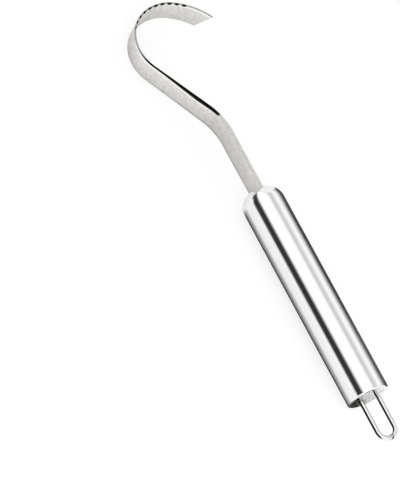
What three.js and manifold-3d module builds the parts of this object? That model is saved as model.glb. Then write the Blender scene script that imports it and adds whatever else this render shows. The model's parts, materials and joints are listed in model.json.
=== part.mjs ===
// Butter curler: a bent steel strip with a fluted hook, on a tubular steel handle with a wire hanging loop.
// Millimetres, +Z up. It lies on a table on its handle and on the side of its hook, blade towards +X.
// Pieces are drawn on the handle's axis: X runs towards the blade from the front of the nose, Y across the
// hook's plane, and Z square to that plane, towards the fluted edge. At the end the tool is rolled to rest.
import * as THREE from 'three';
import { mergeVertices } from 'three/addons/utils/BufferGeometryUtils.js';
import Module from 'manifold-3d';

const degree = Math.PI / 180;

// Handle tube
const handleDiameter = 19;
const handleLength = 103;
const handleWall = 0.8;
const noseRadius = 7.5;
const rimRadius = 1;
const handleSides = 48;
const noseSteps = 8;
const rimSteps = 4;

// Blade strip, from the tang inside the handle to the tip of the hook
const bladeWidth = 12;
const shankThickness = 1.5;
const hookThickness = 0.9;
const tangLength = 30;
const shankLength = 26.9;
const bendRadius = 30.6;
const bendTurn = 29.4 * degree;
const neckLength = 29.3;
const hookRadius = 18.4;
const hookTurn = 142.9 * degree;
const tipRadius = 31.3;
const tipLength = 13.1;
const tipLead = 5.7;
const edgeBreak = 0.2;
const bendStep = 4.5 * degree;

// Flutes ground into the inner face of the hook along its upper edge
const fluteCount = 10;
const flutePitch = 3.35;
const fluteSetback = 13.9;
const fluteRadius = 1.6;
const fluteDepth = 0.72;
const fluteRun = 0.95;
const fluteSides = 24;

// Plug and cross pin that hold the tang
const plugLength = 24;
const plugSetback = 8.2;
const plugChamfer = 1;
const pinDiameter = 3;
const pinSetback = 18;
const pinSides = 24;

// End cap, hanging loop and the disc that keeps the loop's feet
const capRecess = 3.2;
const capThickness = 1;
const capShoulder = 1.05;
const capSkirtWall = 0.9;
const capCrimp = 0.6;
const keeperThickness = 1;
const wireDiameter = 2;
const loopSpacing = 8.4;
const loopReach = 20.5;
const footBend = 1.4;
const footFill = 0.7;
const loopSwing = 18 * degree;
const wireStep = 0.8;
const quarterSides = 3;

// Clearances
const slotClearance = 0.3;
const tangClearance = 0.25;
const pinClearance = 0.15;
const slideClearance = 0.15;
const capClearance = 0.1;
const swingClearance = 0.25;

// Finishes
const polishedSteel = new THREE.MeshStandardMaterial({ color: 0xdadcde, metalness: 1, roughness: 0.08 });
const satinSteel = new THREE.MeshStandardMaterial({ color: 0xcac8c4, metalness: 1, roughness: 0.38 });
const pinSteel = new THREE.MeshStandardMaterial({ color: 0xa8a8a8, metalness: 1, roughness: 0.4 });
const plugPlastic = new THREE.MeshStandardMaterial({ color: 0x3a3a3c, metalness: 0, roughness: 0.6 });

// Places along the axis that more than one piece follows
const handleRadius = handleDiameter / 2;
const boreRadius = handleRadius - handleWall;
const wireRadius = wireDiameter / 2;
const rearEnd = -handleLength;
const capFace = rearEnd + capRecess;
const pivotDepth = capThickness + slideClearance + wireRadius;
const pivot = capFace + pivotDepth;
const keeperFace = pivot + wireRadius + slideClearance;
const crimpFace = keeperFace + keeperThickness + capClearance;
const capEnd = crimpFace + capCrimp;
const capRadius = boreRadius - slideClearance;
const skirtBore = capRadius - capSkirtWall;
const footStart = loopSpacing / 2 + footBend;
const footLength = footFill * (Math.sqrt(skirtBore ** 2 - wireRadius ** 2) - footStart);

// Booleans
const wasm = await Module();
wasm.setup();

function toSolid(geometry, matrix = new THREE.Matrix4()) {
  const bare = geometry.clone().applyMatrix4(matrix);
  bare.deleteAttribute('normal');
  bare.deleteAttribute('uv');
  const merged = mergeVertices(bare, 1e-4);
  const corners = merged.index.array;
  const triangles = [];
  for (let i = 0; i < corners.length; i += 3) {
    const [a, b, c] = [corners[i], corners[i + 1], corners[i + 2]];
    if (a !== b && b !== c && c !== a) triangles.push(a, b, c);
  }
  const mesh = new wasm.Mesh({
    numProp: 3,
    vertProperties: new Float32Array(merged.attributes.position.array),
    triVerts: new Uint32Array(triangles),
  });
  mesh.merge();
  return new wasm.Manifold(mesh);
}

function toGeometry(solid) {
  const mesh = solid.getMesh();
  const geometry = new THREE.BufferGeometry();
  geometry.setAttribute('position', new THREE.BufferAttribute(new Float32Array(mesh.vertProperties), 3));
  geometry.setIndex(new THREE.BufferAttribute(new Uint32Array(mesh.triVerts), 1));
  geometry.computeVertexNormals();
  return geometry;
}

function piece(name, solid, material) {
  const mesh = new THREE.Mesh(toGeometry(solid), material);
  mesh.name = name;
  return mesh;
}

function placed(x, y, z) {
  return new THREE.Matrix4().makeTranslation(x, y, z);
}

// A turned shape: [radius, x] points, on the handle's axis, with one flat side facing the table.
function turned(points, roll) {
  const lathe = new THREE.LatheGeometry(points.map(([r, x]) => new THREE.Vector2(r, x)), handleSides);
  const ontoAxis = new THREE.Matrix4().makeRotationZ(-Math.PI / 2);
  const flatDown = new THREE.Matrix4().makeRotationX(Math.PI / handleSides + roll);
  return toSolid(lathe, flatDown.multiply(ontoAxis));
}

// Points of a quarter round between two angles, as [radius, x].
function round(centreRadius, centreX, radius, from, to, steps) {
  const points = [];
  for (let i = 0; i <= steps; i += 1) {
    const angle = from + ((to - from) * i) / steps;
    points.push([centreRadius + radius * Math.cos(angle), centreX + radius * Math.sin(angle)]);
  }
  return points;
}

// The strip's middle line, as stretches of one curvature each; a positive curve turns towards +Y.
const stretches = [
  { length: tangLength + shankLength, curve: 0 },
  { length: bendRadius * bendTurn, curve: 1 / bendRadius },
  { length: neckLength, curve: 0 },
  { length: hookRadius * hookTurn, curve: -1 / hookRadius },
  { length: tipLength + tipLead, curve: -1 / tipRadius },
];
const neckStart = stretches[0].length + stretches[1].length;
const hookStart = neckStart + neckLength;
const stripLength = stretches.reduce((sum, stretch) => sum + stretch.length, 0);
const plainEdgeLength = stripLength - tipLead;

// Place, heading and thickness of the strip at a distance from the inner end of its tang.
function stripAt(distance) {
  let [x, y, heading, left] = [-tangLength, 0, 0, distance];
  for (const { length, curve } of stretches) {
    const run = Math.min(left, length);
    const next = heading + curve * run;
    x += curve ? (Math.sin(next) - Math.sin(heading)) / curve : run * Math.cos(heading);
    y += curve ? (Math.cos(heading) - Math.cos(next)) / curve : run * Math.sin(heading);
    heading = next;
    left -= run;
  }
  const thinned = THREE.MathUtils.clamp((distance - neckStart) / (hookStart - neckStart), 0, 1);
  const thickness = THREE.MathUtils.lerp(shankThickness, hookThickness, thinned);
  return { x, y, heading, thickness };
}

// Distances at which the strip's outline has a point: every stretch's ends, and steps round the bends.
function stripSteps() {
  const distances = [0];
  let start = 0;
  for (const { length, curve } of stretches) {
    const steps = curve ? Math.ceil((length * Math.abs(curve)) / bendStep) : 1;
    for (let i = 1; i <= steps; i += 1) distances.push(start + (length * i) / steps);
    start += length;
  }
  return distances;
}

// A point on the strip's outer (side 1) or inner (side -1) face.
function facePoint(distance, side) {
  const { x, y, heading, thickness } = stripAt(distance);
  const offset = (side * thickness) / 2;
  return new THREE.Vector2(x - offset * Math.sin(heading), y + offset * Math.cos(heading));
}

function stripBlank() {
  const steps = stripSteps();
  const outer = steps.map((distance) => facePoint(distance, 1));
  const inner = steps.map((distance) => facePoint(distance, -1)).reverse();
  const depth = bladeWidth - 2 * edgeBreak;
  const blank = new THREE.ExtrudeGeometry(new THREE.Shape([...outer, ...inner]), {
    depth,
    bevelThickness: edgeBreak,
    bevelSize: edgeBreak,
    bevelOffset: -edgeBreak,
    bevelSegments: 1,
  });
  return toSolid(blank, placed(0, 0, -depth / 2));
}

// The slanted cut across the tip: a block whose face runs from the plain edge's end to the fluted edge's.
function tipCutter() {
  const plainEnd = stripAt(plainEdgeLength);
  const flutedEnd = stripAt(stripLength);
  const low = new THREE.Vector3(plainEnd.x, plainEnd.y, -bladeWidth / 2);
  const high = new THREE.Vector3(flutedEnd.x, flutedEnd.y, bladeWidth / 2);
  const along = high.clone().sub(low).normalize();
  const across = new THREE.Vector3(-Math.sin(plainEnd.heading), Math.cos(plainEnd.heading), 0);
  const outward = across.clone().cross(along).normalize();
  const square = along.clone().cross(outward);
  const size = 2 * bladeWidth;
  const centre = low.add(high).multiplyScalar(0.5).addScaledVector(outward, size / 2);
  const place = new THREE.Matrix4().makeBasis(outward, square, along).setPosition(centre);
  return toSolid(new THREE.BoxGeometry(size, size, size), place);
}

// One flute: a round cutter that leaves the inner face fluteRun below the upper edge, deepest at the edge.
// It is long enough to run clear of the strip at both ends.
function fluteCutter(distance) {
  const { heading } = stripAt(distance);
  const face = facePoint(distance, -1);
  const length = 5 * fluteRun;
  const intoStrip = new THREE.Vector3(-Math.sin(heading), Math.cos(heading), 0);
  const up = new THREE.Vector3(0, 0, 1);
  const axis = intoStrip.clone().multiplyScalar(fluteDepth).addScaledVector(up, fluteRun).normalize();
  const away = intoStrip.clone().multiplyScalar(-fluteRun).addScaledVector(up, fluteDepth).normalize();
  const side = away.clone().cross(axis);
  const centre = new THREE.Vector3(face.x, face.y, bladeWidth / 2)
    .addScaledVector(intoStrip, fluteDepth)
    .addScaledVector(away, fluteRadius);
  const place = new THREE.Matrix4().makeBasis(away, axis, side).setPosition(centre);
  const cutter = new THREE.CylinderGeometry(fluteRadius, fluteRadius, length, fluteSides);
  return toSolid(cutter, place);
}

function pinSolid(diameter, length) {
  const pin = new THREE.CylinderGeometry(diameter / 2, diameter / 2, length, pinSides);
  return toSolid(pin, placed(-pinSetback, 0, 0));
}

function makeBlade() {
  let blade = stripBlank().subtract(tipCutter());
  for (let i = 0; i < fluteCount; i += 1) {
    blade = blade.subtract(fluteCutter(stripLength - fluteSetback - i * flutePitch));
  }
  const pinHole = pinSolid(pinDiameter + 2 * pinClearance, handleDiameter);
  return piece('blade', blade.subtract(pinHole), satinSteel);
}

// A slot for the strip to pass through, along the handle's axis.
function stripSlot(length, centreX, clearance) {
  const slot = new THREE.BoxGeometry(length, shankThickness + 2 * clearance, bladeWidth + 2 * clearance);
  return toSolid(slot, placed(centreX, 0, 0));
}

function makeHandleTube(roll) {
  const noseBack = -noseRadius;
  const noseCentre = handleRadius - noseRadius;
  const rimCentre = handleRadius - rimRadius;
  const rimFront = rearEnd + rimRadius;
  const quarter = Math.PI / 2;
  const tube = turned(
    [
      [0, 0],
      ...round(noseCentre, noseBack, noseRadius, quarter, 0, noseSteps),
      ...round(rimCentre, rimFront, rimRadius, 0, -quarter, rimSteps),
      ...round(rimCentre, rimFront, rimRadius - handleWall, -quarter, 0, rimSteps),
      ...round(noseCentre, noseBack, noseRadius - handleWall, 0, quarter, noseSteps),
      [0, -handleWall],
    ].reverse(),
    roll,
  );
  const slot = stripSlot(4 * noseRadius, 0, slotClearance);
  return piece('handle_tube', tube.subtract(slot), polishedSteel);
}

function makeTangPlug(roll) {
  const radius = boreRadius - slideClearance;
  const front = -plugSetback;
  const back = front - plugLength;
  const plug = turned(
    [[0, back], [radius, back], [radius, front - plugChamfer], [radius - plugChamfer, front], [0, front]],
    roll,
  );
  const slot = stripSlot(2 * plugLength, front - plugLength / 2, tangClearance);
  const hole = pinSolid(pinDiameter + 2 * pinClearance, handleDiameter);
  return piece('tang_plug', plug.subtract(slot).subtract(hole), plugPlastic);
}

function makeTangPin() {
  const length = 2 * Math.sqrt(boreRadius ** 2 - (pinDiameter / 2) ** 2) - 2 * slotClearance;
  return piece('tang_pin', pinSolid(pinDiameter, length), pinSteel);
}

// A slot in the end cap for one leg of the loop, long enough for the leg to swing.
function legSlot(y) {
  const halfLength = pivotDepth * Math.tan(loopSwing) + wireRadius / Math.cos(loopSwing) + swingClearance;
  const radius = wireRadius + slotClearance;
  const outline = new THREE.Shape();
  outline.absarc(0, halfLength - radius, radius, 0, Math.PI);
  outline.absarc(0, radius - halfLength, radius, Math.PI, 2 * Math.PI);
  const depth = 2 * pivotDepth;
  const curveSegments = 4 * quarterSides;
  const slot = new THREE.ExtrudeGeometry(outline, { depth, bevelEnabled: false, curveSegments });
  const alongX = new THREE.Matrix4().makeBasis(
    new THREE.Vector3(0, 1, 0),
    new THREE.Vector3(0, 0, 1),
    new THREE.Vector3(1, 0, 0),
  );
  return toSolid(slot, alongX.setPosition(capFace - depth / 2, y, 0));
}

function makeEndCap(roll) {
  const crimpRadius = skirtBore - capCrimp;
  const innerFace = capFace + capThickness;
  const cap = turned(
    [
      [0, capFace],
      [capRadius - capShoulder, capFace],
      [capRadius, capFace + capShoulder],
      [capRadius, capEnd],
      [crimpRadius, capEnd],
      [crimpRadius, crimpFace],
      [skirtBore, crimpFace],
      [skirtBore, innerFace],
      [0, innerFace],
    ],
    roll,
  );
  const slotted = cap.subtract(legSlot(loopSpacing / 2)).subtract(legSlot(-loopSpacing / 2));
  return piece('end_cap', slotted, satinSteel);
}

function makeLoopKeeper(roll) {
  const radius = skirtBore - slideClearance;
  const back = keeperFace + keeperThickness;
  const disc = turned([[0, keeperFace], [radius, keeperFace], [radius, back], [0, back]], roll);
  return piece('loop_keeper', disc, pinSteel);
}

// An arc in the loop's plane, from one angle to another, about a centre on its XY plane.
class FlatArc extends THREE.Curve {
  constructor(x, y, radius, from, to) {
    super();
    Object.assign(this, { x, y, radius, from, to });
  }

  getPoint(t, target = new THREE.Vector3()) {
    const angle = this.from + (this.to - this.from) * t;
    return target.set(this.x + this.radius * Math.cos(angle), this.y + this.radius * Math.sin(angle), 0);
  }
}

function line(x0, y0, x1, y1) {
  return new THREE.LineCurve3(new THREE.Vector3(x0, y0, 0), new THREE.Vector3(x1, y1, 0));
}

// The wire: a foot turned out behind the cap, a leg, the bow, the other leg and the other foot.
function makeHangingLoop() {
  const half = loopSpacing / 2;
  const bowX = rearEnd - loopReach + wireRadius + half;
  const legTop = pivot - footBend;
  const footEnd = footStart + footLength;
  const turn = Math.PI / 2;
  const route = new THREE.CurvePath();
  route.add(line(pivot, footEnd, pivot, footStart));
  route.add(new FlatArc(legTop, footStart, footBend, 0, -turn));
  route.add(line(legTop, half, bowX, half));
  route.add(new FlatArc(bowX, 0, half, turn, 3 * turn));
  route.add(line(bowX, -half, legTop, -half));
  route.add(new FlatArc(legTop, -footStart, footBend, turn, 0));
  route.add(line(pivot, -footStart, pivot, -footEnd));
  const section = new THREE.Shape();
  section.absarc(0, 0, wireRadius, 0, 2 * Math.PI);
  const steps = Math.round(route.getLength() / wireStep);
  const curveSegments = 2 * quarterSides;
  const wire = new THREE.ExtrudeGeometry(section, { extrudePath: route, steps, curveSegments });
  return piece('hanging_loop', toSolid(wire), polishedSteel);
}

// The roll that sets the side of the hook on the table beside the handle's lowest flat.
function restRoll() {
  const outermost = facePoint(hookStart + hookRadius * bendTurn, 1).y - edgeBreak;
  const handleRest = handleRadius * Math.cos(Math.PI / handleSides);
  const lever = Math.hypot(outermost, bladeWidth / 2);
  return Math.asin(handleRest / lever) - Math.atan2(bladeWidth / 2, outermost);
}

const roll = restRoll();
const tool = new THREE.Group();
tool.rotation.x = -roll;
tool.add(
  makeBlade(),
  makeHandleTube(roll),
  makeTangPlug(roll),
  makeTangPin(),
  makeEndCap(roll),
  makeLoopKeeper(roll),
  makeHangingLoop(),
);

// The origin lies on the table, under the middle of the tool.
const curler = new THREE.Group();
curler.add(tool);
const box = new THREE.Box3().setFromObject(curler, true);
const middle = box.getCenter(new THREE.Vector3());
tool.position.set(-middle.x, -middle.y, -box.min.z);

export default curler;
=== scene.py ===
# Butter curler: a bent steel strip with a fluted hook, in a polished tubular handle with a wire loop.
# Metres, +Z up. The tool lies on a table with its handle along X and its blade towards +X.
import json
import math

import bmesh
import bpy
from mathutils import Matrix, Vector


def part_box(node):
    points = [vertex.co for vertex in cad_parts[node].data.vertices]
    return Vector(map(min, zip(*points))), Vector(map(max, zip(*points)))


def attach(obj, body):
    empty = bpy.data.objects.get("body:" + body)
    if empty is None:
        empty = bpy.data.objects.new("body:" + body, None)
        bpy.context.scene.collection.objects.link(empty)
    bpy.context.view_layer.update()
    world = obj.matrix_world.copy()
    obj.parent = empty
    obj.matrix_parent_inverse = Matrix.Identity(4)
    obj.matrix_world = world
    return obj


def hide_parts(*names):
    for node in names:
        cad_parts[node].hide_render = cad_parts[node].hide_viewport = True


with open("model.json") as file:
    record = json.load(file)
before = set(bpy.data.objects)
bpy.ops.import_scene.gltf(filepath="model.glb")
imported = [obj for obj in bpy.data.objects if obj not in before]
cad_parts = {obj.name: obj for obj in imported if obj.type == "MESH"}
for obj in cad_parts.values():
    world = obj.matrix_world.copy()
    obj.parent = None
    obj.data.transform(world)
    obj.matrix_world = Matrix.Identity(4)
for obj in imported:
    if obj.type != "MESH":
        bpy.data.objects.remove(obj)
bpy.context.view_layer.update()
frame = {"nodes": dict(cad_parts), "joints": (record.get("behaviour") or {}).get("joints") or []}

# Camera
# A long lens 1.2 m from the tool, above the loop's end and the outer side of the neck.
# It is turned so that the handle runs down to the right.
camera_distance = 1.2
camera_lens = 200.3
sensor_width = 36
nearest_seen = 0.05
farthest_seen = 20
camera_aim = Vector((0.0025, 0.02382, -0.01236))
towards_camera = Vector((-0.30005, 0.57452, 0.76151)).normalized()
picture_up = Vector((0.84218, -0.21536, 0.49432))
picture_right = picture_up.cross(towards_camera).normalized()
picture_up = towards_camera.cross(picture_right)
camera_turn = Matrix((picture_right, picture_up, towards_camera)).transposed()
camera = bpy.data.objects.new("camera", bpy.data.cameras.new("camera"))
camera.data.lens = camera_lens
camera.data.sensor_width = sensor_width
camera.data.clip_start = nearest_seen
camera.data.clip_end = farthest_seen
camera.matrix_world = Matrix.LocRotScale(camera_aim + towards_camera * camera_distance, camera_turn, None)
bpy.context.scene.collection.objects.link(camera)
bpy.context.scene.camera = camera
bpy.context.scene.view_settings.view_transform = "Standard"

# Table top and studio light
# A pale table under even light. Polished metal sees long soft boxes hung along the handle with a seam
# between them, a dark strip low on the near side, the dark far side of the room, and black flags.
table_size = 8
table_drop = 0.00005
table_grey_to_eye = 0.3
table_glow_to_eye = 0.735
table_grey_to_metal = 0.95
table_glow_to_metal = 0.05
handle_shade = 0.0065
handle_shade_fades = 0.019
rear_shade_fades = 0.02
nose_shade_from = 0.0075
nose_shade_fades = 0.002


def plug_in(tree, value, socket):
    """Sets a node's input to a value, or joins it to another node's output."""
    if isinstance(value, bpy.types.NodeSocket):
        tree.links.new(value, socket)
    else:
        socket.default_value = value


def add_node(tree, kind, **inputs):
    """A new shader node with the named inputs set, each to a value or to another node's output."""
    node = tree.nodes.new(kind)
    for name, value in inputs.items():
        plug_in(tree, value, node.inputs[name.replace("_", " ")])
    return node


def add_math(tree, operation, *values):
    """The result of a Math operation on numbers or sockets, taken one after another."""
    result = values[0]
    for value in values[1:]:
        node = tree.nodes.new("ShaderNodeMath")
        node.operation = operation
        plug_in(tree, result, node.inputs[0])
        plug_in(tree, value, node.inputs[1])
        result = node.outputs[0]
    return result


def between(tree, value, span, results=(0, 1)):
    """A value spread from a span over a range of results, and held at its ends."""
    node = add_node(tree, "ShaderNodeMapRange", Value=value)
    for name, number in zip(("From Min", "From Max", "To Min", "To Max"), (*span, *results)):
        node.inputs[name].default_value = number
    return node.outputs[0]


def shades(tree, value, stops, interpolation="LINEAR"):
    """A colour by a value, from stops that are each a value from 0 to 1 and a colour or a brightness."""
    node = add_node(tree, "ShaderNodeValToRGB", Fac=value)
    node.color_ramp.interpolation = interpolation
    elements = node.color_ramp.elements
    while len(elements) < len(stops):
        elements.new(0.5)
    for element, (position, colour) in zip(elements, stops):
        element.position = position
        element.color = (*colour, 1) if isinstance(colour, tuple) else (colour, colour, colour, 1)
    return node.outputs[0]


def ways_of_seeing(tree):
    """Two sockets: 1 for rays straight from the camera, and 1 for rays by way of metal or glass."""
    path = tree.nodes.new("ShaderNodeLightPath")
    mirrored = add_math(tree, "MAXIMUM", path.outputs["Is Glossy Ray"], path.outputs["Is Transmission Ray"])
    return path.outputs["Is Camera Ray"], mirrored


bpy.ops.object.select_all(action="DESELECT")
bpy.ops.mesh.primitive_plane_add(size=table_size, location=(0, 0, -table_drop))
table = bpy.context.object
table.name = "table_top"
bpy.ops.object.transform_apply(location=True, rotation=True, scale=True)
table_paint = bpy.data.materials.new("table_paint")
table_paint.use_nodes = True
tree = table_paint.node_tree
tree.nodes.clear()
by_eye, by_mirror = ways_of_seeing(tree)
# Metal sees a painted shade under the handle, painted into the table's colour, which fades on both sides of
# it and past its ends.
handle_low, handle_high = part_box("handle_tube")
handle_middle = (handle_low + handle_high) / 2
place = tree.nodes.new("ShaderNodeTexCoord").outputs["Object"]
parts = add_node(tree, "ShaderNodeSeparateXYZ", Vector=place)
aside = add_math(tree, "ABSOLUTE", add_math(tree, "SUBTRACT", parts.outputs["Y"], handle_middle.y), 0)
past_side = between(tree, aside, (handle_shade, handle_shade_fades))
past_rear = between(tree, parts.outputs["X"], (handle_low.x, handle_low.x - rear_shade_fades))
nose_shade = (handle_high.x - nose_shade_from, handle_high.x - nose_shade_fades)
past_nose = between(tree, parts.outputs["X"], nose_shade)
lit = add_math(tree, "MAXIMUM", past_side, past_rear, past_nose, by_eye)
lit_grey = between(tree, by_eye, (0, 1), (table_grey_to_metal, table_grey_to_eye))
grey = add_math(tree, "MULTIPLY", lit, lit_grey)
glow_to_eye = add_math(tree, "MULTIPLY", by_eye, table_glow_to_eye)
glow_to_metal = add_math(tree, "MULTIPLY", lit, table_glow_to_metal, by_mirror)
matt = add_node(tree, "ShaderNodeBsdfDiffuse", Color=grey)
glow = add_node(tree, "ShaderNodeEmission", Strength=add_math(tree, "ADD", glow_to_eye, glow_to_metal))
both = tree.nodes.new("ShaderNodeAddShader")
tree.links.new(matt.outputs[0], both.inputs[0])
tree.links.new(glow.outputs[0], both.inputs[1])
add_node(tree, "ShaderNodeOutputMaterial", Surface=both.outputs[0])
table.data.materials.append(table_paint)

# Black flags that only metal sees: one stands along the far side of the tool, one ahead of the nose, and a
# narrow one, bent up at its edge, is held along the near side of each leg of the loop.
flag_grey = 0.08
leg_flag_grey = 0.01
flag_roughness = 0.9
far_flag_place = -0.027
far_flag_foot = 0.001
far_flag_height = 0.02
far_flag_past_nose = 0.012
far_flag_past_rear = 0.01
nose_flag_low = Vector((0.099, 0.03, 0.008))
nose_flag_high = Vector((0.1, 0.08, 0.008))
nose_flag_height = 0.025
leg_flag_length = 0.022
leg_flag_inside = 0.0045
leg_flag_gap = 0.003
leg_flag_height = 0.0043
leg_spacing = 0.0084
x_axis = 0
y_axis = 1


def pick(kind, test):
    """Selects the verts, edges or faces that pass a test, in edit mode."""
    bpy.ops.mesh.select_mode(type={"verts": "VERT", "edges": "EDGE", "faces": "FACE"}[kind])
    bpy.ops.mesh.select_all(action="DESELECT")
    mesh = bmesh.from_edit_mesh(bpy.context.edit_object.data)
    for element in getattr(mesh, kind):
        if test(element):
            element.select_set(True)
    mesh.select_flush_mode()
    bmesh.update_edit_mesh(bpy.context.edit_object.data)


def black_flag(name, low, high, axis, rise, grey):
    """A cloth flag from the lower to the higher corner, whose far edge along an axis is drawn up."""
    bpy.ops.object.select_all(action="DESELECT")
    bpy.ops.mesh.primitive_plane_add(size=1, location=(low + high) / 2)
    flag = bpy.context.object
    flag.name = name
    flag.scale = (high.x - low.x, high.y - low.y, 1)
    bpy.ops.object.transform_apply(location=True, rotation=True, scale=True)
    middle = (low[axis] + high[axis]) / 2
    bpy.ops.object.mode_set(mode="EDIT")
    pick("edges", lambda edge: min(vert.co[axis] for vert in edge.verts) > middle)
    bpy.ops.mesh.extrude_region_move(TRANSFORM_OT_translate={"value": (0, 0, rise)})
    bpy.ops.object.mode_set(mode="OBJECT")
    cloth = bpy.data.materials.new(name + "_cloth")
    cloth.use_nodes = True
    shader = cloth.node_tree.nodes["Principled BSDF"]
    shader.inputs["Base Color"].default_value = (grey, grey, grey, 1)
    shader.inputs["Roughness"].default_value = flag_roughness
    flag.data.materials.append(cloth)
    flag.visible_camera = False
    flag.visible_diffuse = False
    flag.visible_shadow = False


far_flag_low = Vector((handle_low.x - far_flag_past_rear, far_flag_place - far_flag_foot, 0))
far_flag_high = Vector((handle_high.x + far_flag_past_nose, far_flag_place, 0))
black_flag("far_flag", far_flag_low, far_flag_high, y_axis, far_flag_height, flag_grey)
black_flag("nose_flag", nose_flag_low, nose_flag_high, x_axis, nose_flag_height, flag_grey)
hinge = frame["joints"][0]
leg_reach = Vector(hinge["axis"]) * (leg_spacing / 2)
for side in (1, -1):
    leg_y = handle_middle.y + side * leg_reach.y
    leg_z = handle_middle.z + side * leg_reach.z
    leg_flag_low = Vector((handle_low.x - leg_flag_length, leg_y, leg_z - leg_flag_gap))
    leg_flag_high = Vector((handle_low.x + leg_flag_inside, leg_y + leg_flag_gap, leg_z - leg_flag_gap))
    black_flag("leg_flag", leg_flag_low, leg_flag_high, y_axis, leg_flag_height, leg_flag_grey)

# The room is evenly lit. Metal sees it in bands round the handle, each by degrees up from the near side of
# the table. Behind the tool the room is white, and so it is ahead of the nose on the far side.
room_light = 0.78
studio_bands = [
    (0, 0.92),
    (12, 0.03),
    (30, 0.03),
    (48, 1.15),
    (86, 1.15),
    (107, 0.66),
    (136, 1.06),
    (180, 0.12),
]
half_turn = 180
wall_white = 0.95
rear_wall = (-0.2, -0.55)
front_wall = (0.4, 0.7)
far_side = (0, -0.1)
plain_white = (1, 1, 1, 1)

studio = bpy.data.worlds.new("studio")
bpy.context.scene.world = studio
studio.use_nodes = True
tree = studio.node_tree
tree.nodes.clear()
by_eye, by_mirror = ways_of_seeing(tree)
direction = tree.nodes.new("ShaderNodeTexCoord").outputs["Generated"]
parts = add_node(tree, "ShaderNodeSeparateXYZ", Vector=direction)
height_angle = add_math(tree, "ARCTAN2", parts.outputs["Z"], parts.outputs["Y"])
bands = [(angle / half_turn, brightness) for angle, brightness in studio_bands]
band_light = shades(tree, add_math(tree, "DIVIDE", height_angle, math.pi), bands, "EASE")
rear_light = between(tree, parts.outputs["X"], rear_wall, (0, wall_white))
ahead = between(tree, parts.outputs["X"], front_wall, (0, wall_white))
front_light = add_math(tree, "MULTIPLY", ahead, between(tree, parts.outputs["Y"], far_side))
studio_light = add_math(tree, "MAXIMUM", band_light, rear_light, front_light)
even = add_node(tree, "ShaderNodeBackground", Color=plain_white, Strength=room_light)
mirrored = add_node(tree, "ShaderNodeBackground", Color=studio_light, Strength=1)
white = add_node(tree, "ShaderNodeBackground", Color=plain_white, Strength=1)
to_metal = add_node(tree, "ShaderNodeMixShader", Fac=by_mirror)
tree.links.new(even.outputs[0], to_metal.inputs[1])
tree.links.new(mirrored.outputs[0], to_metal.inputs[2])
to_eye = add_node(tree, "ShaderNodeMixShader", Fac=by_eye)
tree.links.new(to_metal.outputs[0], to_eye.inputs[1])
tree.links.new(white.outputs[0], to_eye.inputs[2])
add_node(tree, "ShaderNodeOutputWorld", Surface=to_eye.outputs[0])

# A large soft box above the near side is the main lamp.
box_power = 7
box_size = 1.2
box_distance = 1.5
box_angle = math.radians(50)
box_aside = math.radians(35)
soft_box = bpy.data.objects.new("soft_box", bpy.data.lights.new("soft_box", "AREA"))
soft_box.data.shape = "SQUARE"
soft_box.data.size = box_size
soft_box.data.energy = box_power
soft_box.rotation_euler = (box_angle - math.pi / 2, 0, box_aside)
soft_box.location = soft_box.rotation_euler.to_matrix() @ Vector((0, 0, box_distance))
soft_box.visible_glossy = False
bpy.context.scene.collection.objects.link(soft_box)

# A small lamp behind the tool lights the inside of the handle's open end, and little else.
rear_lamp_power = 11
rear_lamp_distance = 0.5
rear_lamp_reach = 0.018
rear_lamp_radius = 0.01
rear_lamp_blend = 0.5
to_rear_lamp = Vector((-0.65, 0.75, 0.14)).normalized()
rear_end = Vector((handle_low.x, handle_middle.y, handle_middle.z))
rear_lamp = bpy.data.objects.new("rear_lamp", bpy.data.lights.new("rear_lamp", "SPOT"))
rear_lamp.data.energy = rear_lamp_power
rear_lamp.data.spot_size = 2 * math.atan(rear_lamp_reach / rear_lamp_distance)
rear_lamp.data.spot_blend = rear_lamp_blend
rear_lamp.data.shadow_soft_size = rear_lamp_radius
rear_lamp.location = rear_end + to_rear_lamp * rear_lamp_distance
rear_lamp.rotation_euler = to_rear_lamp.to_track_quat("Z", "Y").to_euler()
rear_lamp.visible_glossy = False
rear_lamp.data.use_shadow = False
bpy.context.scene.collection.objects.link(rear_lamp)

# Blade
# One strip of stainless steel: a tang in the handle, a shank, a bend, a neck ground thinner, and a hook
# with flutes ground along its upper edge. It is bent cold, cut on a slant at the tip and finished satin.
blade_width = 0.012
shank_thickness = 0.0015
hook_thickness = 0.0009
tang_length = 0.030
shank_length = 0.0269
bend_radius = 0.0306
bend_turn = math.radians(29.4)
neck_length = 0.0293
hook_radius = 0.0184
hook_turn = math.radians(142.9)
tip_radius = 0.0313
tip_length = 0.0131
tip_lead = 0.0057
tip_reach = 2 * blade_width
edge_break = 0.0002
edge_break_segments = 3
edge_angle = math.radians(45)
edge_slope = 0.3
bend_step = math.radians(2)
square_on = 0.999
flute_count = 10
flute_pitch = 0.00335
flute_setback = 0.0139
flute_radius = 0.0016
flute_depth = 0.00072
flute_run = 0.00095
wheel_length = 5 * flute_run
pin_hole = 0.0033
pin_setback = 0.018
cutter_sides = 48

# The tool is drawn with its handle's axis on X and the front of the nose at the origin, and then laid down:
# rolled about that axis, as the loop's hinge line is, and moved to the axis of the handle.
roll = math.atan2(-hinge["axis"][2], hinge["axis"][1])
nose = Vector((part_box("handle_tube")[1].x, hinge["pos_m"][1], hinge["pos_m"][2]))


def lay_down(piece):
    """Moves a drawn piece to its place in the frame, with its object at the origin."""
    bpy.ops.object.select_all(action="DESELECT")
    piece.select_set(True)
    bpy.context.view_layer.objects.active = piece
    piece.location = nose
    piece.rotation_euler = (-roll, 0, 0)
    bpy.ops.object.transform_apply(location=True, rotation=True, scale=True)


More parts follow.
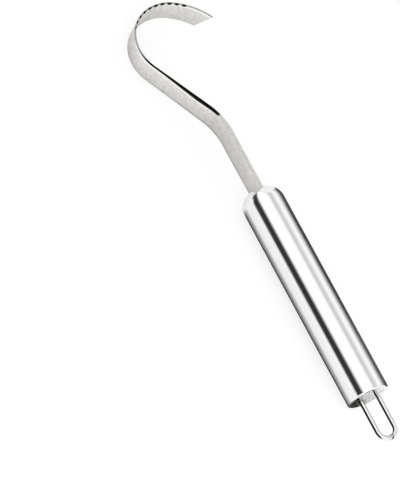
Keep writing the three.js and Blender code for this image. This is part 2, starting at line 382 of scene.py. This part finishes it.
def draw_along(place, heading, stretches, step):
    """Extrudes the selected end along straights and spins it round bends, in the plane of the hook.
    Each stretch is a length and a turn, to the left if positive. Returns where it ends and its heading."""
    for length, turn in stretches:
        if turn == 0:
            move = Vector((math.cos(heading), math.sin(heading), 0)) * length
            bpy.ops.mesh.extrude_region_move(TRANSFORM_OT_translate={"value": move})
            place = place + move
            continue
        to_centre = Vector((-math.sin(heading), math.cos(heading), 0)) * (length / turn)
        centre = place + to_centre
        steps = math.ceil(abs(turn) / step)
        bpy.ops.mesh.spin(steps=steps, angle=-turn, center=centre, axis=(0, 0, 1))
        heading += turn
        place = centre - Matrix.Rotation(turn, 3, "Z") @ to_centre
    return place, heading


def cut(piece, cutter):
    """Takes a cutter's shape out of a piece, with the cutter's finish if it has one, and removes it."""
    modifier = piece.modifiers.new("cut", "BOOLEAN")
    modifier.operation = "DIFFERENCE"
    modifier.solver = "EXACT"
    modifier.object = cutter
    if cutter.data.materials:
        modifier.material_mode = "TRANSFER"
    bpy.ops.object.select_all(action="DESELECT")
    bpy.context.view_layer.objects.active = piece
    bpy.ops.object.modifier_apply(modifier=modifier.name)
    bpy.data.objects.remove(cutter)


bpy.ops.object.select_all(action="DESELECT")
straight = tang_length + shank_length
bpy.ops.mesh.primitive_cube_add(size=1, location=(straight / 2 - tang_length, 0, 0))
blade = bpy.context.object
blade.name = "curler_blade"
blade.scale = (straight, shank_thickness, blade_width)
bpy.ops.object.transform_apply(location=True, rotation=True, scale=True)
bpy.ops.object.mode_set(mode="EDIT")
pick("faces", lambda face: face.normal.x > square_on)
neck_end, heading = draw_along(
    Vector((shank_length, 0, 0)),
    0,
    [(bend_radius * bend_turn, bend_turn), (neck_length, 0)],
    bend_step,
)
thinning = hook_thickness / shank_thickness
bpy.ops.transform.resize(value=(thinning, thinning, 1), center_override=neck_end)
plain_end, plain_heading = draw_along(
    neck_end,
    heading,
    [(hook_radius * hook_turn, -hook_turn), (tip_length, -tip_length / tip_radius)],
    bend_step,
)
fluted_end, fluted_heading = draw_along(
    plain_end,
    plain_heading,
    [(tip_lead, -tip_lead / tip_radius)],
    bend_step,
)

# The tip is cut on a slant, from the end of the plain edge to the end of the fluted edge.
low = plain_end - Vector((0, 0, blade_width / 2))
high = fluted_end + Vector((0, 0, blade_width / 2))
across = Vector((-math.sin(plain_heading), math.cos(plain_heading), 0))
bpy.ops.mesh.select_all(action="SELECT")
bpy.ops.mesh.normals_make_consistent(inside=False)
past_tip = across.cross(high - low).normalized()
pick("faces", lambda face: (face.calc_center_median() - low).length < tip_reach)
bpy.ops.mesh.bisect(plane_co=low, plane_no=past_tip, use_fill=True, clear_outer=True)
pick("edges", lambda edge: edge.is_manifold and edge.calc_face_angle() > edge_angle)
bpy.ops.mesh.bevel(offset=edge_break, segments=edge_break_segments, affect="EDGES")
bpy.ops.object.mode_set(mode="OBJECT")

# Finishes vary with noise. Most of the noise lies in the first span, and the second makes it show more.
noise_span = (0.3, 0.7)
strong_noise_span = (0.35, 0.65)
mottle_range = (0.9, 1.1)
warm_white = (1, 0.985, 0.955)


def new_finish(name, metallic, colour, roughness):
    """A material with its node tree and its shader, with even values on the shader's own sockets."""
    material = bpy.data.materials.new(name)
    material.use_nodes = True
    shader = material.node_tree.nodes["Principled BSDF"]
    shader.inputs["Metallic"].default_value = metallic
    shader.inputs["Base Color"].default_value = (*colour, 1)
    shader.inputs["Roughness"].default_value = roughness
    return material, material.node_tree, shader


def as_drawn(tree):
    """A piece's own coordinates as the tool was drawn, before it was laid down."""
    place = tree.nodes.new("ShaderNodeTexCoord").outputs["Object"]
    mapping = add_node(tree, "ShaderNodeMapping", Vector=place, Location=nose, Rotation=(-roll, 0, 0))
    mapping.vector_type = "TEXTURE"
    return mapping.outputs[0]


def grain(tree, scale, stretch=(1, 1, 1), detail=3):
    """Noise on the coordinates of the drawing, stretched along its axes."""
    stretched = add_node(tree, "ShaderNodeMapping", Vector=as_drawn(tree), Scale=stretch)
    noise = add_node(tree, "ShaderNodeTexNoise", Vector=stretched.outputs[0], Scale=scale, Detail=detail)
    return noise.outputs[0]


def vary_colour(tree, shader, value, dark, pale, span=noise_span):
    """A base colour that goes from one colour or grey to another as a value goes through a span."""
    tree.links.new(shades(tree, value, list(zip(span, (dark, pale)))), shader.inputs["Base Color"])


def vary_roughness(tree, shader, value, low, high, span=noise_span):
    """A roughness that goes from one number to another as a value goes through a span."""
    tree.links.new(between(tree, value, span, (low, high)), shader.inputs["Roughness"])


def roughen(tree, shader, height, strength, distance):
    """Bump on a shader from a height."""
    bump = add_node(tree, "ShaderNodeBump", Height=height, Strength=strength, Distance=distance)
    tree.links.new(bump.outputs[0], shader.inputs["Normal"])


def darken(tree, brightness, where, left):
    """A brightness of which only a share is left where a mask is 1."""
    return add_math(tree, "MULTIPLY", brightness, between(tree, where, (0, 1), (1, left)))


# The satin faces are fine-ground along the strip. Painted light and shade make them a little brighter
# towards the upper edge and past the bend, and a little darker round the hook. A painted highlight runs
# in a narrow line just below the upper edge on the neck and the fluted side of the hook. A painted dark
# reflection lies along the upper edge of the neck, most of all near the bend, and a thin one along the
# lower edge.
face_shades = (0.64, 0.84)
bend_place = (0.034, 0.046)
bend_shades = (0.93, 1.06)
turn_place = (0.074, 0.082)
turn_shades = (0.86, 1)
return_place = (0.004, -0.004)
return_shades = (1, 0.95)
highlight_height = (0.004, 0.0054)
highlight_gain = 0.28
dark_edge_start = (0.0360, 0.0366)
dark_edge_end = (0.0706, 0.0783)
dark_line_height = (0.0055, 0.0058)
dark_line_left = 0.02
line_swell = 0.0008
swell_start = (0.036, 0.046)
swell_end = (0.048, 0.062)
lower_line_start = (0.004, 0.016)
lower_line_end = (0.03, 0.07)
lower_line_on_hook = 0.25
lower_line_height = (-0.0046, -0.0054)
lower_line_left = 0.35


def dark_edge_stretch(tree, along):
    """1 along the neck, whose upper edge has a painted dark reflection, and 0 on the shank and past the
    first of the hook.
    """
    past_bend = between(tree, along, dark_edge_start)
    before_hook = between(tree, along, dark_edge_end, (1, 0))
    return add_math(tree, "MINIMUM", past_bend, before_hook)


satin, tree, shader = new_finish("satin_steel", metallic=1, colour=(0.66, 0.65, 0.63), roughness=0.38)
parts = add_node(tree, "ShaderNodeSeparateXYZ", Vector=as_drawn(tree))
along = parts.outputs["X"]
height = parts.outputs["Z"]
past_bend = between(tree, along, bend_place)
on_return = between(tree, parts.outputs["Y"], return_place)
off_turn = add_math(tree, "MAXIMUM", between(tree, along, turn_place, (1, 0)), on_return)
# Painted light and shade: darker towards the lower edge and round the hook, brighter past the bend.
painted_light = add_math(
    tree,
    "MULTIPLY",
    between(tree, height, (-blade_width / 2, blade_width / 2), face_shades),
    between(tree, past_bend, (0, 1), bend_shades),
    between(tree, off_turn, (0, 1), turn_shades),
    between(tree, on_return, (0, 1), return_shades),
)
swell = add_math(
    tree,
    "MINIMUM",
    between(tree, along, swell_start, (0, line_swell)),
    between(tree, along, swell_end, (line_swell, 0)),
)
swelled_height = add_math(tree, "ADD", height, swell)
# A painted highlight in a narrow line just below the upper edge.
painted_highlight = between(tree, swelled_height, highlight_height, (0, highlight_gain))
painted_highlight = add_math(tree, "MULTIPLY", painted_highlight, past_bend, off_turn)
mottle = between(tree, grain(tree, scale=600, detail=5), noise_span, mottle_range)
brightness = add_math(tree, "MULTIPLY", add_math(tree, "ADD", painted_light, painted_highlight), mottle)
# A painted dark reflection along the upper edge of the neck.
dark_reflection_line = add_math(
    tree,
    "MULTIPLY",
    dark_edge_stretch(tree, along),
    between(tree, on_return, (0, 1), (1, 0)),
    between(tree, swelled_height, dark_line_height),
)
brightness = darken(tree, brightness, dark_reflection_line, dark_line_left)
# A thin painted dark reflection along the lower edge.
before_return = add_math(
    tree,
    "SUBTRACT",
    between(tree, along, lower_line_end, (1, lower_line_on_hook)),
    on_return,
)
lower_line = add_math(
    tree,
    "MULTIPLY",
    between(tree, along, lower_line_start),
    before_return,
    between(tree, height, lower_line_height),
)
brightness = darken(tree, brightness, lower_line, lower_line_left)
vary_colour(tree, shader, brightness, dark=0, pale=warm_white, span=(0, 1))
lines = grain(tree, scale=1, stretch=(60, 60, 5200), detail=2)
vary_roughness(tree, shader, lines, low=0.33, high=0.45)
roughen(tree, shader, lines, strength=0.12, distance=0.00002)

# The sheared edges are duller, and darker past the bend. The upper edge of the neck is painted near-black
# up to the first of the hook, a painted dark reflection.
top_height = (0.004, 0.005)
sheared_shades = (0.71, 0.46)
dark_edge_left = 0.008
sheared, tree, shader = new_finish("sheared_edge", metallic=1, colour=(0.5, 0.495, 0.48), roughness=0.4)
parts = add_node(tree, "ShaderNodeSeparateXYZ", Vector=as_drawn(tree))
along = parts.outputs["X"]
on_top = between(tree, parts.outputs["Z"], top_height)
# The painted dark reflection on the upper edge of the neck.
dark_reflection_edge = add_math(tree, "MULTIPLY", on_top, dark_edge_stretch(tree, along))
rub = between(tree, grain(tree, scale=900, detail=4), noise_span, mottle_range)
brightness = add_math(tree, "MULTIPLY", rub, between(tree, along, dark_edge_start, sheared_shades))
brightness = darken(tree, brightness, dark_reflection_edge, dark_edge_left)
vary_colour(tree, shader, brightness, dark=0, pale=warm_white, span=(0, 1))
vary_roughness(tree, shader, rub, low=0.36, high=0.46, span=mottle_range)

# The flutes are painted near-black, a painted shade in the grooves.
flute_shade, tree, shader = new_finish("flute_shade", metallic=1, colour=(0.02, 0.02, 0.02), roughness=0.5)
scratch = grain(tree, scale=1, stretch=(3000, 3000, 300), detail=2)
vary_colour(tree, shader, scratch, dark=0.012, pale=0.03)
vary_roughness(tree, shader, scratch, low=0.42, high=0.58)

blade.data.materials.append(satin)
blade.data.materials.append(sheared)
for face in blade.data.polygons:
    face.material_index = int(abs(face.normal.z) > edge_slope)


def strip_place(distance_from_tip):
    """Place and heading on the strip's middle line, so far back from the end of its fluted edge."""
    tip_run = tip_length + tip_lead
    on_tip = min(distance_from_tip, tip_run)
    place, heading = fluted_end, fluted_heading
    for length, radius in ((on_tip, tip_radius), (distance_from_tip - on_tip, hook_radius)):
        centre = place + Vector((math.sin(heading), -math.cos(heading), 0)) * radius
        place = centre + Matrix.Rotation(length / radius, 3, "Z") @ (place - centre)
        heading += length / radius
    return place, heading


# Each flute is ground by a round wheel that leaves the inner face a little below the upper edge.
up = Vector((0, 0, 1))
bpy.ops.object.select_all(action="DESELECT")
for index in range(flute_count):
    place, heading = strip_place(flute_setback + index * flute_pitch)
    into_strip = Vector((-math.sin(heading), math.cos(heading), 0))
    flute_line = (into_strip * flute_depth + up * flute_run).normalized()
    away = (up * flute_depth - into_strip * flute_run).normalized()
    edge = place - into_strip * (hook_thickness / 2) + up * (blade_width / 2)
    bpy.ops.mesh.primitive_cylinder_add(
        vertices=cutter_sides,
        radius=flute_radius,
        depth=wheel_length,
        location=edge + into_strip * flute_depth + away * flute_radius,
        rotation=Matrix((away, flute_line.cross(away), flute_line)).transposed().to_euler(),
    )
    wheel = bpy.context.object
    wheel.data.materials.append(flute_shade)
    cut(blade, wheel)

bpy.ops.object.select_all(action="DESELECT")
bpy.ops.mesh.primitive_cylinder_add(
    vertices=cutter_sides,
    radius=pin_hole / 2,
    depth=blade_width,
    location=(-pin_setback, 0, 0),
    rotation=(math.pi / 2, 0, 0),
)
cut(blade, bpy.context.object)


def smooth(piece, angle):
    """Smooth shading, apart from edges sharper than an angle in degrees."""
    bpy.ops.object.select_all(action="DESELECT")
    piece.select_set(True)
    bpy.context.view_layer.objects.active = piece
    bpy.ops.object.shade_smooth_by_angle(angle=math.radians(angle))


lay_down(blade)
smooth(blade, angle=12)
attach(blade, "tool")
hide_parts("blade")

# Handle tube
# A drawn tube of stainless steel, closed at the front by a rounded nose that is slotted for the strip.
# Its rear rim is turned in with a small round, and it is polished to a mirror along its length.
tube_low, tube_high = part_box("handle_tube")
tube_radius = (tube_high.z - tube_low.z) / 2
tube_length = tube_high.x - tube_low.x
tube_wall = 0.0008
tube_sides = 128
nose_radius = 0.0075
nose_segments = 20
rim_radius = 0.001
rim_segments = 10
slot_clearance = 0.0003
slot_depth = 4 * nose_radius

bpy.ops.object.select_all(action="DESELECT")
bpy.ops.mesh.primitive_cylinder_add(
    vertices=tube_sides,
    radius=tube_radius,
    depth=tube_length,
    location=(-tube_length / 2, 0, 0),
    rotation=(0, math.pi / 2, 0),
)
tube = bpy.context.object
tube.name = "curler_handle"
bpy.ops.object.transform_apply(location=True, rotation=True, scale=True)
bpy.ops.object.mode_set(mode="EDIT")
pick("edges", lambda edge: min(vert.co.x for vert in edge.verts) > -tube_wall)
bpy.ops.mesh.bevel(offset=nose_radius, segments=nose_segments, affect="EDGES")
pick("edges", lambda edge: max(vert.co.x for vert in edge.verts) < tube_wall - tube_length)
bpy.ops.mesh.bevel(offset=rim_radius, segments=rim_segments, affect="EDGES")
pick("faces", lambda face: face.normal.x < -square_on)
bpy.ops.mesh.delete(type="FACE")
bpy.ops.object.mode_set(mode="OBJECT")

polished, tree, shader = new_finish("polished_steel", metallic=1, colour=(0.9, 0.903, 0.906), roughness=0.1)
lines = grain(tree, scale=1, stretch=(9, 2600, 2600), detail=2)
vary_roughness(tree, shader, lines, low=0.07, high=0.14)

# The bore keeps the dull finish of the drawing die. A painted shade darkens it along one side, and it is
# painted darker below, as shade.
bore_range = (0.8, 1)
bore_white = 0.98
shade_colour = (0.05, 0.04, 0.03)
shade_turn = math.radians(27)
shade_place = (0.0015, 0.0055)
shade_fray = 0.0015
lower_wall = (-0.006, 0.001)
lower_wall_shade = 0.66
bore, tree, shader = new_finish("drawn_bore", metallic=0.3, colour=(0.86, 0.85, 0.82), roughness=0.6)
mill_scale = between(tree, grain(tree, scale=1500, detail=4), strong_noise_span, bore_range)
parts = add_node(tree, "ShaderNodeSeparateXYZ", Vector=as_drawn(tree))
outward = add_math(tree, "MULTIPLY", parts.outputs["Y"], math.cos(shade_turn))
downward = add_math(tree, "MULTIPLY", parts.outputs["Z"], -math.sin(shade_turn))
fray = between(tree, grain(tree, scale=400, detail=5), noise_span, (-shade_fray, shade_fray))
to_shade = add_math(tree, "ADD", outward, downward, fray)
# Painted shade: dark along one side of the bore and darker on its lower wall.
brightness = add_math(
    tree,
    "MULTIPLY",
    mill_scale,
    between(tree, to_shade, shade_place, (1, 0)),
    between(tree, parts.outputs["Z"], lower_wall, (lower_wall_shade, 1)),
)
vary_colour(tree, shader, brightness, dark=shade_colour, pale=bore_white, span=(0, 1))
vary_roughness(tree, shader, mill_scale, low=0.5, high=0.7, span=bore_range)

# The wall is thickened inwards, and then slotted.
tube.data.materials.append(polished)
tube.data.materials.append(bore)
wall = tube.modifiers.new("wall", "SOLIDIFY")
wall.thickness = tube_wall
wall.offset = -1
wall.use_even_offset = True
wall.material_offset = 1
wall.material_offset_rim = 1
bpy.ops.object.modifier_apply(modifier=wall.name)
bpy.ops.object.select_all(action="DESELECT")
bpy.ops.mesh.primitive_cube_add(size=1, location=(0, 0, 0))
slot_cutter = bpy.context.object
slot_height = shank_thickness + 2 * slot_clearance
slot_width = blade_width + 2 * slot_clearance
slot_cutter.scale = (slot_depth, slot_height, slot_width)
bpy.ops.object.transform_apply(location=True, rotation=True, scale=True)
cut(tube, slot_cutter)

lay_down(tube)
smooth(tube, angle=30)
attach(tube, "tool")
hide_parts("handle_tube")

# End cap
# A pressed steel cup, set a little way inside the rear rim. Its flat face has a slot for each leg of the
# loop, and its skirt is crimped over the keeper disc.
cap_low, cap_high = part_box("end_cap")
cap_radius = (cap_high.z - cap_low.z) / 2
cap_length = cap_high.x - cap_low.x
cap_face = cap_low.x - nose.x
cap_thickness = 0.001
cap_sides = 96
cap_shoulder = 0.00105
shoulder_segments = 6
skirt_wall = 0.0009
crimp = 0.0006
wire_radius = 0.001
swing_clearance = 0.00025
swing = math.radians(hinge["range_deg"][1])
pivot_depth = hinge["pos_m"][0] - cap_low.x
leg_slot_radius = wire_radius + slot_clearance
leg_slot_half = pivot_depth * math.tan(swing) + wire_radius / math.cos(swing) + swing_clearance
leg_slot_depth = 4 * cap_thickness
hair = 1e-6

bpy.ops.object.select_all(action="DESELECT")
bpy.ops.mesh.primitive_cylinder_add(
    vertices=cap_sides,
    radius=cap_radius,
    depth=cap_length,
    location=(cap_face + cap_length / 2, 0, 0),
    rotation=(0, math.pi / 2, 0),
)
cap = bpy.context.object
cap.name = "rear_cap"
bpy.ops.object.transform_apply(location=True, rotation=True, scale=True)
bpy.ops.object.mode_set(mode="EDIT")
pick("edges", lambda edge: max(vert.co.x for vert in edge.verts) < cap_face + cap_thickness / 2)
bpy.ops.mesh.bevel(offset=cap_shoulder, segments=shoulder_segments, affect="EDGES")
pick("faces", lambda face: face.normal.x > square_on)
bpy.ops.mesh.inset(thickness=skirt_wall + crimp)
bpy.ops.mesh.extrude_region_move(TRANSFORM_OT_translate={"value": (-crimp, 0, 0)})
bpy.ops.mesh.extrude_region_move(TRANSFORM_OT_translate={"value": (0, 0, 0)})
widen = (cap_radius - skirt_wall) / (cap_radius - skirt_wall - crimp)
crimp_face = cap_face + cap_length - crimp
bpy.ops.transform.resize(value=(1, widen, widen), center_override=(crimp_face, 0, 0))
to_floor = cap_length - crimp - cap_thickness
bpy.ops.mesh.extrude_region_move(TRANSFORM_OT_translate={"value": (-to_floor, 0, 0)})
bpy.ops.object.mode_set(mode="OBJECT")
for side in (1, -1):
    bpy.ops.object.select_all(action="DESELECT")
    bpy.ops.mesh.primitive_cylinder_add(
        vertices=cutter_sides,
        radius=leg_slot_radius,
        depth=leg_slot_depth,
        location=(cap_face, side * leg_spacing / 2, 0),
        rotation=(0, math.pi / 2, 0),
    )
    slot_cutter = bpy.context.object
    bpy.ops.object.transform_apply(location=True, rotation=True, scale=True)
    bpy.ops.object.mode_set(mode="EDIT")
    for end in (1, -1):
        pick("verts", lambda vert: vert.co.z * end > hair)
        lengthen = end * (leg_slot_half - leg_slot_radius)
        bpy.ops.transform.translate(value=(0, 0, lengthen))
    bpy.ops.object.mode_set(mode="OBJECT")
    cut(cap, slot_cutter)

cap_dark = (0.55, 0.54, 0.52)
cap_pale = (0.9, 0.89, 0.87)
pressed, tree, shader = new_finish("cap_steel", metallic=0.5, colour=(0.8, 0.79, 0.77), roughness=0.6)
mottle = grain(tree, scale=1500, detail=4)
vary_colour(tree, shader, mottle, cap_dark, cap_pale, span=strong_noise_span)
vary_roughness(tree, shader, mottle, low=0.55, high=0.75)
roughen(tree, shader, mottle, strength=0.3, distance=0.00004)
cap.data.materials.append(pressed)
lay_down(cap)
smooth(cap, angle=30)
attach(cap, "tool")
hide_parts("end_cap")

# Hanging loop
# A U of bright drawn steel wire. Its feet are turned out behind the end cap, where they are free to turn,
# so that the loop swings square to its own plane as far as the cap's slots let it.
foot_bend = 0.0014
foot_length = 0.00139
loop_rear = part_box("hanging_loop")[0].x
pivot_x = hinge["pos_m"][0] - nose.x
bow_x = loop_rear - nose.x + wire_radius + leg_spacing / 2
leg_length = pivot_x - foot_bend - bow_x
wire_sides = 24
wire_step = math.radians(7.5)
quarter = math.pi / 2

bpy.ops.object.select_all(action="DESELECT")
foot_start = Vector((pivot_x, leg_spacing / 2 + foot_bend + foot_length, 0))
bpy.ops.mesh.primitive_circle_add(
    vertices=wire_sides,
    radius=wire_radius,
    fill_type="NGON",
    location=foot_start,
    rotation=(quarter, 0, 0),
)
loop = bpy.context.object
loop.name = "wire_loop"
bpy.ops.object.transform_apply(location=True, rotation=True, scale=True)
bpy.ops.object.mode_set(mode="EDIT")
bpy.ops.mesh.select_all(action="SELECT")
draw_along(
    foot_start,
    -quarter,
    [
        (foot_length, 0),
        (foot_bend * quarter, -quarter),
        (leg_length, 0),
        (leg_spacing * quarter, 2 * quarter),
        (leg_length, 0),
        (foot_bend * quarter, -quarter),
        (foot_length, 0),
    ],
    wire_step,
)
bpy.ops.mesh.select_all(action="SELECT")
bpy.ops.mesh.remove_doubles(threshold=hair)
bpy.ops.mesh.normals_make_consistent(inside=False)
bpy.ops.object.mode_set(mode="OBJECT")

drawn, tree, shader = new_finish("wire_steel", metallic=1, colour=(0.86, 0.863, 0.866), roughness=0.08)
lines = grain(tree, scale=900, detail=2)
vary_roughness(tree, shader, lines, low=0.05, high=0.11)
loop.data.materials.append(drawn)
lay_down(loop)
smooth(loop, angle=40)
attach(loop, "loop")
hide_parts("hanging_loop")

# Inner pieces
# The moulded plug and the steel cross pin that hold the tang, and the disc that keeps the loop's feet.
# They are hidden in the handle and keep their plain shapes.
moulded, tree, shader = new_finish("plug_plastic", metallic=0, colour=(0.05, 0.05, 0.055), roughness=0.55)
flow = grain(tree, scale=500)
vary_colour(tree, shader, flow, dark=0.04, pale=0.062)
vary_roughness(tree, shader, flow, low=0.5, high=0.62)
plain, tree, shader = new_finish("inner_steel", metallic=1, colour=(0.55, 0.55, 0.55), roughness=0.42)
rolled = grain(tree, scale=1, stretch=(300, 2500, 300))
vary_roughness(tree, shader, rolled, low=0.36, high=0.5)
for node, finish in (("tang_plug", moulded), ("tang_pin", plain), ("loop_keeper", plain)):
    frame["nodes"][node].material_slots[0].material = finish
